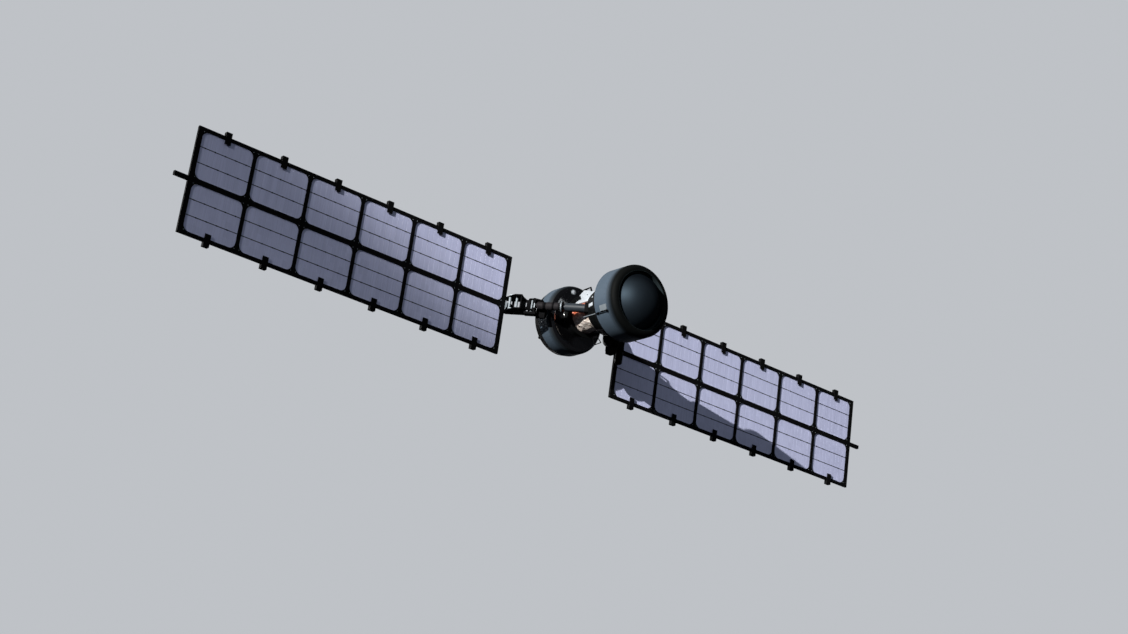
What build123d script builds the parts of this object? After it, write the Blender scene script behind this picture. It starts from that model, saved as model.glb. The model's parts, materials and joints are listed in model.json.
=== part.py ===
from build123d import *
import math
import os

# A free-flying satellite: two drums joined by a foil-wrapped bay, with a framed wing on a swept arm each side.
# Millimetres. +X runs along the right wing, -Y along the body towards the fore drum, +Z up the wing's chord.
# The origin is on the body's axis, level along it with the masts; the arms and the wings lie a little lower.

# Aft drum, from its rear face forwards: tapered band, side, round shoulder, near-flat face, neck and collar
rear_y = 48
rear_taper = 51
rear_round = 30
band_length = 202
drum_radius = 812
drum_length = 279
shoulder_round = 156
paint_edge_angle = 45
face_rise = 30
face_hollow = 0.25
neck_radius = 430
neck_length = 239
collar_radius = 500
collar_length = 30

# Foil bay between the drums
bay_radius = 403
bay_length = 642

# Fore drum, its dark flaring skirt, the pan of its rim and the dome that stands in it
skirt_start_radius = 495
skirt_step = 142
skirt_length = 675
fore_radius = 842
fore_length = 495
rim_floor = 66
rim_depth = 122
rim_width = 152
rim_round = 120
dome_gap = 45
dome_height = 450

# Launch ring, engine and thrusters on the rear face
ring_radius = 597
ring_wall = 45
ring_height = 120
ring_flange = 30
ring_bolt_circle = 560
ring_bolt_count = 24
ring_bolt_radius = 6
engine_wall = 8
engine_mount_height = 60
engine_mount_radius = 150
thruster_inset = 83
thruster_count = 4
thruster_throat = 20
thruster_radius = 36
thruster_length = 90

# Bell's outer radius against its distance from the rear face
bell_points = ((70, 130), (130, 190), (182, 270), (212, 340), (230, 400))

# Bracket over the bay, in a plane through the body's axis: its corners by y and radius, and those of its hook
bracket_angle = 115
bracket_thickness = 28
bracket_corners = ((-640, 420), (-1100, 380), (-1404, 496), (-1060, 600))
bracket_hole = (-1130, 475)
bracket_hole_radius = 16
hook_corners = ((-1030, 622), (-1292, 632), (-1302, 520), (-1262, 520), (-1270, 610), (-1085, 586), (-1030, 570))

# Whip and flush sensor on the fore drum
whip_start_y = -1790
whip_change_y = -2230
whip_tip_y = -2640
whip_angle = 210.5
whip_rod = 10
whip_gap = 20
whip_clamp_places = (-2300, -2620)
whip_clamp_width = 34
whip_clamp_length = 24
whip_clamp_wall = 9
whip_clamp_sink = 20
sensor_length = 220
sensor_width = 130
sensor_round = 20
sensor_thickness = 20
sensor_y = -2495
sensor_angle = 204.5

# Arm, from its root on the body to the wing
arm_root_x = 391
arm_end_x = 1702
arm_sweep = 1577
arm_drop = 70
root_block_end = 140
root_block_back = 120
root_block_width = 200
root_block_height = 230
tube_radius = 98
tube_end = 603
neck_shaft_radius = 60
inner_flange_radius = 132
inner_flange_start = 660
inner_flange_end = 733
barrel_radius = 95
barrel_crown = 12
barrel_slope = 24
fork_start = 1305
fork_plate = 35
fork_width = 170
fork_gap = 220
ear_thickness = 30
pin_place = 1400
pin_radius = 34
pin_height = 330
pin_clearance = 0.05
knuckle_radius = 55
keel_start = 1279
keel_end = 1551
keel_top = -180
keel_height = 60

# Barrels along the arm: start, end
barrels = ((748, 873), (900, 1064), (1115, 1267))

# Hood over the outer barrel, wider to the rear, with a rounded housing that hangs from it behind the arm
hood_start = 1120
hood_end = 1350
hood_low_rise = 8
hood_high_rise = 54
hood_fore = 100
hood_rear = 240
housing_start = 1100
housing_end = 1300
housing_gap = 10
housing_outer = 303
housing_bottom = -253
housing_round = 150

# Link and yoke box, outboard of the hinge pin
link_width = 110
link_side_gap = 5
strut_clearance = 25
strut_root = 20
strut_depth = 75
bar_depth = 60
yoke_start = 1600
yoke_reach = 800
yoke_half_width = 220
yoke_half_height = 175
yoke_plate = 28
yoke_back = 140
yoke_post_radius = 30
wing_clearance = 12
canister_radius = 90
canister_length = 342
canister_round = 72
canister_place = (1585, -330)

# Posts between the yoke's plates: place along the arm, distance outwards from its line
yoke_posts = ((1749, 66), (1921, 40), (1700, -150), (1900, -200))

# Wing and its drive, on the mast's line
wing_drop = 40
wing_inner_x = 1702
cell_pitch = 1384
cell_columns = 6
cell_height = 1200
frame_depth = 60
rail_width = 78
spine_width = 112
rib_width = 84
end_width = 112
gusset = 150
panel_thickness = 14
panel_gap = 0.5
clip_width = 140
clip_height = 280
clip_depth = 96
clip_gap = 0.3
mast_tip_length = 324
mast_tip_width = 96
mast_tip_depth = 80
mast_tip_round = 12
drive_radius = 85
drive_length = 150
drive_saddle_width = 120
shaft_radius = 45
shaft_length = 140
shaft_end_gap = 5
hub_radius = 110
hub_length = 7

# Stations along the body
side_start_y = rear_y - band_length
shoulder_start_y = side_start_y - drum_length
face_edge_y = shoulder_start_y - shoulder_round
face_crown_y = face_edge_y - face_rise
collar_start_y = face_crown_y - neck_length
bay_start_y = collar_start_y - collar_length
skirt_start_y = bay_start_y - bay_length
fore_start_y = skirt_start_y - skirt_length
rim_start_y = fore_start_y - fore_length
dome_start_y = rim_start_y - rim_floor
rim_end_y = dome_start_y - rim_depth

# Radii that follow the drums'
rear_radius = drum_radius - rear_taper
face_edge_radius = drum_radius - shoulder_round
thruster_circle = rear_radius - thruster_inset
skirt_end_radius = fore_radius - skirt_step
rim_inner_radius = fore_radius - rim_width
dome_radius = rim_inner_radius - dome_gap

# Arm's direction, fork, yoke and wing
sweep_length = math.hypot(arm_end_x - arm_root_x, arm_sweep)
sweep_cos = (arm_end_x - arm_root_x) / sweep_length
sweep_sin = arm_sweep / sweep_length
barrel_edge = barrel_radius - barrel_crown
hood_bottom = barrel_radius + 1
hood_low = hood_bottom + hood_low_rise
hood_high = hood_bottom + hood_high_rise
housing_inner = barrel_radius + housing_gap
fork_height = fork_gap + 2 * ear_thickness
link_half = fork_gap / 2 - link_side_gap
strut_start = pin_place + fork_width / 2 + strut_clearance
knuckle_end = pin_place + knuckle_radius
yoke_end_x = wing_inner_x - wing_clearance
mast_z = -arm_drop - wing_drop
wing_length = cell_pitch * cell_columns
wing_height = 2 * cell_height
window_height = cell_height - rail_width - spine_width / 2
window_level = spine_width / 2 + window_height / 2

# Windows of the wing's frame: place along the wing, place up the chord, width
windows = []
for column in range(cell_columns):
    start = column * cell_pitch + (end_width if column == 0 else rib_width / 2)
    stop = (column + 1) * cell_pitch - (end_width if column == cell_columns - 1 else rib_width / 2)
    for row in (-1, 1):
        windows.append(((start + stop) / 2, row * window_level, stop - start))

os.makedirs("parts", exist_ok=True)


def save(piece, name):
    piece.label = name
    export_step(piece, "parts/" + name + ".step")


def shoulder(degrees):
    turn = math.radians(degrees)
    return (face_edge_radius + shoulder_round * math.cos(turn), shoulder_start_y - shoulder_round * math.sin(turn))


# Aft drum: tapered dark band, pale side up to the middle of the shoulder, glossy face with neck and collar
with BuildPart() as aft_band:
    with BuildSketch(Plane.XY):
        Polygon((0, rear_y), (rear_radius, rear_y), (drum_radius, side_start_y), (0, side_start_y), align=None)
    revolve(axis=Axis.Y)
    fillet(aft_band.edges().group_by(Axis.Y)[-1], rear_round)
save(aft_band.part, "aft_band")

paint_edge = shoulder(paint_edge_angle)
with BuildPart() as aft_drum:
    with BuildSketch(Plane.XY):
        with BuildLine():
            Polyline((0, paint_edge[1]), (0, side_start_y), (drum_radius, side_start_y), shoulder(0))
            ThreePointArc(shoulder(0), shoulder(paint_edge_angle / 2), paint_edge)
            Line(paint_edge, (0, paint_edge[1]))
        make_face()
    revolve(axis=Axis.Y)
save(aft_drum.part, "aft_drum")

with BuildPart() as aft_face:
    with BuildSketch(Plane.XY):
        with BuildLine():
            crown_edge = (neck_radius, face_crown_y)
            hollow = ((face_edge_radius + neck_radius) / 2, face_edge_y - face_hollow * face_rise)
            ThreePointArc(paint_edge, shoulder((paint_edge_angle + 90) / 2), shoulder(90))
            ThreePointArc(shoulder(90), hollow, crown_edge)
            Polyline(crown_edge, (neck_radius, collar_start_y), (collar_radius, collar_start_y),
                     (collar_radius, bay_start_y), (0, bay_start_y), (0, paint_edge[1]), paint_edge)
        make_face()
    revolve(axis=Axis.Y)
save(aft_face.part, "aft_face")

with BuildPart() as foil_bay:
    with BuildSketch(Plane.XZ.offset(-bay_start_y)):
        Circle(bay_radius)
    extrude(amount=bay_length)
save(foil_bay.part, "foil_bay")

# Fore drum: skirt, side, pan-shaped rim, dome
with BuildPart() as fore_skirt:
    with BuildSketch(Plane.XY):
        Polygon((0, skirt_start_y), (skirt_start_radius, skirt_start_y), (skirt_end_radius, fore_start_y),
                (0, fore_start_y), align=None)
    revolve(axis=Axis.Y)
save(fore_skirt.part, "fore_skirt")

with BuildPart() as fore_drum:
    with BuildSketch(Plane.XZ.offset(-fore_start_y)):
        Circle(fore_radius)
    extrude(amount=fore_length)
save(fore_drum.part, "fore_drum")

with BuildPart() as fore_rim:
    with BuildSketch(Plane.XY):
        Polygon((0, rim_start_y), (fore_radius, rim_start_y), (fore_radius, rim_end_y), (rim_inner_radius, rim_end_y),
                (rim_inner_radius, dome_start_y), (0, dome_start_y), align=None)
    revolve(axis=Axis.Y)
    fillet(fore_rim.edges().group_by(Axis.Y)[0].sort_by(SortBy.LENGTH)[-1], rim_round)
save(fore_rim.part, "fore_rim")

with BuildPart() as fore_dome:
    with BuildSketch(Plane.XY):
        with BuildLine():
            apex = (0, dome_start_y - dome_height)
            lip = (dome_radius, dome_start_y)
            sphere = (dome_radius ** 2 + dome_height ** 2) / (2 * dome_height)
            half_angle = math.asin(dome_radius / sphere) / 2
            middle = (sphere * math.sin(half_angle), apex[1] + sphere * (1 - math.cos(half_angle)))
            ThreePointArc(lip, middle, apex)
            Polyline(apex, (0, dome_start_y), lip)
        make_face()
    revolve(axis=Axis.Y)
save(fore_dome.part, "fore_dome")

# Rear face: launch ring, engine bell on its mount, thrusters
rear_plane = Plane.XZ.offset(-rear_y)
flange_plane = rear_plane.offset(-ring_height)
with BuildPart() as launch_ring:
    with BuildSketch(rear_plane):
        Circle(ring_radius)
        Circle(ring_radius - ring_wall, mode=Mode.SUBTRACT)
    extrude(amount=-ring_height)
    with BuildSketch(flange_plane):
        Circle(ring_radius)
        Circle(ring_bolt_circle - ring_wall, mode=Mode.SUBTRACT)
    extrude(amount=ring_flange)
    with BuildSketch(flange_plane):
        with PolarLocations(ring_bolt_circle, ring_bolt_count):
            Circle(ring_bolt_radius)
    extrude(amount=ring_flange, mode=Mode.SUBTRACT)
save(launch_ring.part, "launch_ring")

mount_y = rear_y + engine_mount_height
bell_outer = [(radius, rear_y + place) for radius, place in bell_points]
bell_inner = [(radius - engine_wall, y) for radius, y in reversed(bell_outer)]
with BuildPart() as engine:
    with BuildSketch(Plane.XY):
        Polygon((0, rear_y), (engine_mount_radius, rear_y), (engine_mount_radius, mount_y),
                (bell_outer[0][0], mount_y), *bell_outer, *bell_inner, (0, bell_outer[0][1]), align=None)
    revolve(axis=Axis.Y)
save(engine.part, "engine_bell")

with BuildPart() as thrusters:
    for corner in range(thruster_count):
        turn = 2 * math.pi * (corner + 0.5) / thruster_count
        place = (thruster_circle * math.cos(turn), rear_y, thruster_circle * math.sin(turn))
        nozzle = Plane(origin=place, x_dir=(1, 0, 0), z_dir=(0, 1, 0))
        with BuildSketch(nozzle):
            Circle(thruster_throat)
        with BuildSketch(nozzle.offset(thruster_length)):
            Circle(thruster_radius)
        loft()
save(thrusters.part, "aft_thrusters")

# Flat bracket that leans forwards over the bay from the neck, with its hook
bracket_turn = math.radians(bracket_angle)
bracket_plane = Plane(origin=(0, 0, 0), x_dir=(0, 1, 0), z_dir=(math.sin(bracket_turn), 0, -math.cos(bracket_turn)))
with BuildPart() as bracket:
    with BuildSketch(bracket_plane):
        Polygon(*bracket_corners, align=None)
        with Locations(bracket_hole):
            Circle(bracket_hole_radius, mode=Mode.SUBTRACT)
    extrude(amount=bracket_thickness / 2, both=True)
    add(aft_face.part, mode=Mode.SUBTRACT)
    add(foil_bay.part, mode=Mode.SUBTRACT)
save(bracket.part, "sensor_bracket")

with BuildPart() as hook:
    with BuildSketch(bracket_plane):
        Polygon(*hook_corners, align=None)
    extrude(amount=bracket_thickness / 2, both=True)
    add(bracket.part, mode=Mode.SUBTRACT)
save(hook.part, "bracket_hook")

# Whip: a two-tone rod clamped along the fore drum's side, with its light end out past the skirt
whip_turn = math.radians(whip_angle)
whip_out = Vector(math.cos(whip_turn), 0, math.sin(whip_turn))
whip_line = whip_out * (fore_radius + whip_gap + whip_rod)
for name, low, high in (("whip_stem", whip_start_y, whip_change_y), ("whip_tip", whip_change_y, whip_tip_y)):
    with BuildPart() as rod:
        with BuildSketch(Plane(origin=whip_line + Vector(0, low, 0), x_dir=(1, 0, 0), z_dir=(0, -1, 0))):
            Circle(whip_rod)
        extrude(amount=low - high)
    save(rod.part, name)

clamp_low = -whip_rod - whip_gap - whip_clamp_sink
clamp_high = whip_rod + whip_clamp_wall
with BuildPart() as clamps:
    for place in whip_clamp_places:
        with BuildSketch(Plane(origin=whip_line + Vector(0, place, 0), x_dir=whip_out, z_dir=(0, -1, 0))):
            with Locations(((clamp_low + clamp_high) / 2, 0)):
                Rectangle(clamp_high - clamp_low, whip_clamp_width)
        extrude(amount=whip_clamp_length / 2, both=True)
    add(fore_drum.part, mode=Mode.SUBTRACT)
    with BuildSketch(Plane(origin=whip_line, x_dir=(1, 0, 0), z_dir=(0, -1, 0))):
        Circle(whip_rod)
    extrude(amount=-2 * whip_tip_y, mode=Mode.SUBTRACT)
save(clamps.part, "whip_clamps")

# Flush sensor on the fore drum's side
sensor_turn = math.radians(sensor_angle)
sensor_out = Vector(math.cos(sensor_turn), 0, math.sin(sensor_turn))
sensor_seat = sensor_out * fore_radius + Vector(0, sensor_y, 0)
with BuildPart() as sensor:
    with BuildSketch(Plane(origin=sensor_seat, x_dir=(0, 1, 0), z_dir=sensor_out)):
        RectangleRounded(sensor_length, sensor_width, sensor_round)
    extrude(amount=sensor_thickness, both=True)
    add(fore_drum.part, mode=Mode.SUBTRACT)
save(sensor.part, "side_sensor")

for side, sign in (("left", -1), ("right", 1)):
    along = Vector(sign * sweep_cos, sweep_sin, 0)
    across = Vector(sweep_sin, -sign * sweep_cos, 0)
    root = Vector(sign * arm_root_x, -arm_sweep, -arm_drop)
    arm_axis = Axis(root, along)
    cross = Plane(origin=root, x_dir=(0, 0, 1), z_dir=along)
    profile = Plane(origin=root, x_dir=along, z_dir=across)
    level = Plane(origin=root, x_dir=along, z_dir=(0, 0, 1))

    # Root block, cut to the bay and the skirt that it sits on
    with BuildPart() as root_block:
        with BuildSketch(level.offset(-root_block_height / 2)):
            with Locations(((root_block_end - root_block_back) / 2, 0)):
                Rectangle(root_block_end + root_block_back, root_block_width)
        extrude(amount=root_block_height)
        add(fore_skirt.part, mode=Mode.SUBTRACT)
        add(foil_bay.part, mode=Mode.SUBTRACT)
    save(root_block.part, side + "_root_block")

    with BuildPart() as tube:
        with BuildSketch(cross.offset(root_block_end)):
            Circle(tube_radius)
        extrude(amount=tube_end - root_block_end)
        with BuildSketch(cross.offset(tube_end)):
            Circle(neck_shaft_radius)
        extrude(amount=inner_flange_start - tube_end)
    save(tube.part, side + "_arm_tube")

    with BuildPart() as flange:
        with BuildSketch(cross.offset(inner_flange_start)):
            Circle(inner_flange_radius)
        extrude(amount=inner_flange_end - inner_flange_start)
    save(flange.part, side + "_arm_flange")

    # Three barrels with sloping ends on one shaft
    with BuildPart() as barrel_set:
        with BuildSketch(cross.offset(inner_flange_end)):
            Circle(neck_shaft_radius)
        extrude(amount=fork_start - inner_flange_end)
        for start, end in barrels:
            with BuildSketch(profile):
                Polygon((start, 0), (start, barrel_edge), (start + barrel_slope, barrel_radius),
                        (end - barrel_slope, barrel_radius), (end, barrel_edge), (end, 0), align=None)
            revolve(axis=arm_axis)
    save(barrel_set.part, side + "_arm_barrels")

    # Fork with two ears, and the pin through them
    with BuildPart() as fork:
        with BuildSketch(cross.offset(fork_start)):
            Rectangle(fork_height, fork_width)
        extrude(amount=fork_plate)
        ear_length = pin_place - fork_start - fork_plate
        for low in (fork_gap / 2, -fork_gap / 2 - ear_thickness):
            with BuildSketch(level.offset(low)):
                with Locations((pin_place - ear_length / 2, 0)):
                    Rectangle(ear_length, fork_width)
                with Locations((pin_place, 0)):
                    Circle(fork_width / 2)
                    Circle(pin_radius, mode=Mode.SUBTRACT)
            extrude(amount=ear_thickness)
    save(fork.part, side + "_hinge_fork")

    with BuildPart() as pin:
        with BuildSketch(level.offset(-pin_height / 2)):
            with Locations((pin_place, 0)):
                Circle(pin_radius)
        extrude(amount=pin_height)
    save(pin.part, side + "_hinge_pin")

    # Sloping hood over the outer barrel, with the housing behind the arm
    with BuildPart() as hood:
        with BuildSketch(profile.offset(-sign * hood_rear)):
            Polygon((hood_start, hood_bottom), (fork_start, hood_bottom), (fork_start, fork_height / 2),
                    (hood_end, fork_height / 2), (hood_end, hood_high), (hood_start, hood_low), align=None)
        extrude(amount=sign * (hood_rear + hood_fore))
        with BuildSketch(cross.offset(housing_start)) as housing:
            with Locations(((hood_low + housing_bottom) / 2, -sign * (housing_inner + housing_outer) / 2)):
                Rectangle(hood_low - housing_bottom, housing_outer - housing_inner)
            low_corner = Vector(housing_bottom, -sign * housing_outer, 0)
            fillet(housing.vertices().sort_by_distance(low_corner)[0], housing_round)
        extrude(amount=housing_end - housing_start)
    save(hood.part, side + "_hinge_hood")

    # Keel plate under the fork
    with BuildPart() as keel:
        with BuildSketch(profile):
            Polygon((keel_start, keel_top), (fork_start, keel_top), (fork_start, -fork_height / 2),
                    (fork_start + fork_plate, -fork_height / 2), (fork_start + fork_plate, keel_top),
                    (keel_end, keel_top), (keel_end, keel_top - keel_height), (keel_start, keel_top - keel_height),
                    align=None)
        extrude(amount=fork_width / 2, both=True)
    save(keel.part, side + "_hinge_keel")

    # Link: knuckle on the pin, upper strut and lower bar to the yoke
    with BuildPart() as link:
        with BuildSketch(level.offset(-link_half)):
            with Locations((pin_place, 0)):
                Circle(knuckle_radius)
            with Locations((knuckle_end, 0)):
                Rectangle(2 * knuckle_radius, link_width)
        extrude(amount=2 * link_half)
        with BuildSketch(profile):
            Polygon((knuckle_end, link_half), (knuckle_end, strut_root), (yoke_start, yoke_half_height - strut_depth),
                    (yoke_start, yoke_half_height), (strut_start, link_half), align=None)
            Polygon((knuckle_end, -link_half), (knuckle_end, -strut_root), (yoke_start, bar_depth - yoke_half_height),
                    (yoke_start, -yoke_half_height), (strut_start, -link_half), align=None)
        extrude(amount=link_width / 2, both=True)
        with BuildSketch(level.offset(-pin_height)):
            with Locations((pin_place, 0)):
                Circle(pin_radius + pin_clearance)
        extrude(amount=2 * pin_height, mode=Mode.SUBTRACT)
    save(link.part, side + "_hinge_link")

    # Yoke: two plates on posts behind an end plate, trimmed beside the wing and at the back
    with BuildPart() as yoke:
        for low in (yoke_half_height - yoke_plate, -yoke_half_height):
            with BuildSketch(level.offset(low)):
                with Locations((yoke_start + yoke_reach / 2, 0)):
                    Rectangle(yoke_reach, 2 * yoke_half_width)
            extrude(amount=yoke_plate)
        with BuildSketch(level.offset(-yoke_half_height)):
            with Locations((yoke_start + yoke_plate / 2, 0)):
                Rectangle(yoke_plate, 2 * yoke_half_width)
            for place, outward in yoke_posts:
                with Locations((place, -sign * outward)):
                    Circle(yoke_post_radius)
        extrude(amount=2 * yoke_half_height)
        with BuildSketch(Plane.XY.offset(-arm_drop - 2 * yoke_half_height)):
            with Locations((sign * (yoke_end_x + yoke_reach / 2), 0)):
                Rectangle(yoke_reach, 2 * yoke_reach)
            with Locations((sign * yoke_end_x, yoke_back + yoke_reach / 2)):
                Rectangle(2 * yoke_reach, yoke_reach)
        extrude(amount=4 * yoke_half_height, mode=Mode.SUBTRACT)
    save(yoke.part, side + "_yoke")

    # Drive housing inside the yoke, on the mast's line
    mast_line = Plane(origin=(0, 0, mast_z), x_dir=(0, sign, 0), z_dir=(sign, 0, 0))
    with BuildPart() as drive:
        with BuildSketch(mast_line.offset(yoke_end_x - drive_length)):
            Circle(drive_radius)
        extrude(amount=drive_length)
        saddle_floor = yoke_plate - yoke_half_height - arm_drop
        with BuildSketch(Plane.XY.offset(saddle_floor)):
            with Locations((sign * (yoke_end_x - drive_length / 2), 0)):
                Rectangle(drive_length, drive_saddle_width)
        extrude(amount=mast_z - saddle_floor)
        with BuildSketch(mast_line.offset(wing_inner_x - shaft_length)):
            Circle(shaft_radius + pin_clearance)
        extrude(amount=shaft_length, mode=Mode.SUBTRACT)
        add(yoke.part, mode=Mode.SUBTRACT)
    save(drive.part, side + "_drive_housing")

    with BuildPart() as shaft:
        with BuildSketch(mast_line.offset(wing_inner_x - shaft_length + shaft_end_gap)):
            Circle(shaft_radius)
        extrude(amount=shaft_length - shaft_end_gap)
        with BuildSketch(mast_line.offset(wing_inner_x - hub_length)):
            Circle(hub_radius)
        extrude(amount=hub_length)
    save(shaft.part, side + "_drive_shaft")

    # Wing frame: rails, ribs and spine around two rows of rounded windows, and the panels in them
    wing_plane = Plane(origin=(sign * wing_inner_x, 0, mast_z), x_dir=(sign, 0, 0), z_dir=(0, sign, 0))
    with BuildPart() as frame:
        with BuildSketch(wing_plane):
            with Locations((wing_length / 2, 0)):
                Rectangle(wing_length, wing_height)
            for outboard, up, width in windows:
                with Locations((outboard, up)):
                    RectangleRounded(width, window_height, gusset, mode=Mode.SUBTRACT)
        extrude(amount=frame_depth / 2, both=True)
    save(frame.part, side + "_wing_frame")

    with BuildPart() as panels:
        with BuildSketch(wing_plane):
            for outboard, up, width in windows:
                with Locations((outboard, up)):
                    RectangleRounded(width - 2 * panel_gap, window_height - 2 * panel_gap, gusset - panel_gap)
        extrude(amount=panel_thickness / 2, both=True)
    save(panels.part, side + "_wing_panels")

    # Clips that straddle the rails at the middle of each cell
    with BuildPart() as clips:
        for column in range(cell_columns):
            for row in (-1, 1):
                clip_level = row * (cell_height - rail_width / 2)
                place = wing_plane.from_local_coords(Vector((column + 0.5) * cell_pitch, clip_level, 0))
                clip_plane = Plane(origin=place, x_dir=wing_plane.x_dir, z_dir=wing_plane.z_dir)
                with BuildSketch(clip_plane):
                    Rectangle(clip_width, clip_height)
                extrude(amount=clip_depth / 2, both=True)
                with BuildSketch(clip_plane):
                    with Locations((0, -row * clip_height / 4)):
                        Rectangle(clip_width, rail_width + clip_height / 2 + 2 * clip_gap)
                extrude(amount=frame_depth / 2 + clip_gap, both=True, mode=Mode.SUBTRACT)
    save(clips.part, side + "_wing_clips")

    with BuildPart() as mast_tip:
        with BuildSketch(mast_line.offset(wing_inner_x + wing_length)):
            RectangleRounded(mast_tip_depth, mast_tip_width, mast_tip_round)
        extrude(amount=mast_tip_length)
    save(mast_tip.part, side + "_mast_tip")

# Canister under the right yoke
with BuildPart() as canister:
    with BuildSketch(Plane.XY.offset(-yoke_half_height - arm_drop)):
        with Locations(canister_place):
            Circle(canister_radius)
    extrude(amount=-canister_length)
    fillet(canister.edges().group_by(Axis.Z)[0], canister_round)
save(canister.part, "right_canister")
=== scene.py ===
import json
import math
from itertools import product

import bmesh
import bpy
from mathutils import Matrix, Vector, noise
from mathutils.bvhtree import BVHTree


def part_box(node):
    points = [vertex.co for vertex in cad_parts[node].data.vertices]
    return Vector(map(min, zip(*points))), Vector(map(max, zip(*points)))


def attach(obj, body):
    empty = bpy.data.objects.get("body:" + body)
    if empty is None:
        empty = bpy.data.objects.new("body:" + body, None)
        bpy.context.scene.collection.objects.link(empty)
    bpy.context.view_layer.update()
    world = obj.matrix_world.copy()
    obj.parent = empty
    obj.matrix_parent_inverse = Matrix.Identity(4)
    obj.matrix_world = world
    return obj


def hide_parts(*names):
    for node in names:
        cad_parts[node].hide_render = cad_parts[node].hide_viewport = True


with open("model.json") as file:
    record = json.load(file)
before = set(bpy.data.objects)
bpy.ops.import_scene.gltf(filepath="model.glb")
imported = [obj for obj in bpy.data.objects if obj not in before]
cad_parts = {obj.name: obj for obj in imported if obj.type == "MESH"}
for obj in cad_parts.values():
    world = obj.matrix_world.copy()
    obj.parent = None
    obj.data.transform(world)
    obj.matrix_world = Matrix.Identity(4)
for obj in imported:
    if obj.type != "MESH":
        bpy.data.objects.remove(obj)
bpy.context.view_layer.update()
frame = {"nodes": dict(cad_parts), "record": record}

# A free-flying satellite: finishes for the solid model, and the fine pieces that sit on it. Metres, +Z up.
scene = bpy.context.scene
cadNodes = frame["nodes"]
slotOfNode = {part["node"]: part["material_slot"] for part in frame["record"]["subparts"]}
sides = (("left", -1), ("right", 1))
print("frame loaded:", len(cadNodes), "nodes")


# Camera, floor and light

cameraLook = {
    "place": (-24.770, -33.269, -14.711),    # below and to the left, worked out from the wings' corners
    "turn": (109.9235, -7.5475, -39.4474),   # degrees
    "lens": 59.52,
    "sensor": 36.0,
    "reach": 600.0,
}

stageLook = {
    "floorLevel": -15.0,                     # just under the camera
    "floorRadius": 260.0,
    "floorCorners": 96,
    "fadeStart": 60.0,                       # from here outwards the floor blends into the backdrop
    "fadeEnd": 200.0,
    "floorColor": (0.60, 0.61, 0.63),
    "bounceColor": (0.04, 0.04, 0.045),      # the floor, except where the camera sees it directly
    "backdropColor": (0.52, 0.54, 0.57),
    "dimColor": (0.010, 0.011, 0.013),       # what gloss that faces the front shows
    "paleSide": (0.45, 0.85, 0.28),          # where the backdrop that gloss shows is palest
    "paleFrom": 0.62,
    "paleTo": 0.95,
    "ambientColor": (0.80, 0.88, 1.0),
    "ambientSide": (-0.30, -0.75, 0.60),     # soft light comes mostly from the front and above
    "ambientFrom": -0.35,
    "ambientTo": 0.90,
    "ambientLow": 0.020,
    "ambientHigh": 0.320,
}

keyLook = {                                  # far away, so it falls evenly; its beam ends on the left wing
    "from": (-0.920, -0.318, 0.228),
    "aim": (14.30, -3.07, 9.42),
    "distance": 300.0,
    "power": 6900000.0,
    "radius": 0.8,
    "cone": 6.1,                             # degrees
    "blend": 0.22,
    "color": (1.0, 0.985, 0.96),
}

sunLook = (                                  # name, from, strength, softness in degrees
    ("keySpill", keyLook["from"], 0.92, 0.5),           # weaker light, also past the key's beam
    ("fillBehindRight", (0.35, 0.92, 0.15), 1.1, 25),
    ("fillBehindLeft", (-0.25, 0.93, 0.25), 0.8, 25),
)


def wire(tree, kind, inputs=None, **settings):
    node = tree.nodes.new(kind)
    for name, value in settings.items():
        setattr(node, name, value)
    for socket, value in (inputs or {}).items():
        if isinstance(value, bpy.types.NodeSocket):
            tree.links.new(value, node.inputs[socket])
        else:
            node.inputs[socket].default_value = value
    return node


def opaque(color):
    return (*color, 1)


def mathOn(tree, operation, *values, clamp=False):
    node = wire(tree, "ShaderNodeMath", dict(enumerate(values)), operation=operation, use_clamp=clamp)
    return node.outputs[0]


def spread(tree, value, low, high, fromLow=0.3, fromHigh=0.7):    # noise keeps mostly between 0.3 and 0.7
    limits = {"From Min": fromLow, "From Max": fromHigh, "To Min": low, "To Max": high}
    return wire(tree, "ShaderNodeMapRange", {"Value": value, **limits}).outputs[0]


def mixColor(tree, share, first, second):
    inputs = {0: share}
    for socket, color in ((6, first), (7, second)):     # the Mix node's two colour sockets
        inputs[socket] = color if isinstance(color, bpy.types.NodeSocket) else opaque(color)
    return wire(tree, "ShaderNodeMix", inputs, data_type="RGBA").outputs[2]


def mixShader(tree, share, first, second):
    return wire(tree, "ShaderNodeMixShader", {0: share, 1: first, 2: second}).outputs[0]


def reachOn(tree, place, axes):  # distance from the origin, along these axes only
    flat = wire(tree, "ShaderNodeVectorMath", {0: place, 1: axes}, operation="MULTIPLY")
    return wire(tree, "ShaderNodeVectorMath", {0: flat.outputs[0]}, operation="LENGTH").outputs["Value"]


def makeCamera(look):
    data = bpy.data.cameras.new("camera")
    data.lens = look["lens"]
    data.sensor_width = look["sensor"]
    data.sensor_fit = "HORIZONTAL"
    data.clip_end = look["reach"]
    camera = bpy.data.objects.new("camera", data)
    camera.location = look["place"]
    camera.rotation_euler = [math.radians(angle) for angle in look["turn"]]
    scene.collection.objects.link(camera)
    scene.camera = camera


def aimLamp(lamp, direction):    # the light comes from this direction
    lamp.rotation_euler = (-Vector(direction)).to_track_quat("-Z", "Y").to_euler()
    scene.collection.objects.link(lamp)


def makeKey(look):
    data = bpy.data.lights.new("keySpot", "SPOT")
    data.energy = look["power"]
    data.color = look["color"]
    data.shadow_soft_size = look["radius"]
    data.spot_size = math.radians(look["cone"])
    data.spot_blend = look["blend"]
    key = bpy.data.objects.new("keySpot", data)
    key.location = Vector(look["from"]).normalized() * look["distance"]
    aimLamp(key, key.location - Vector(look["aim"]))


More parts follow.
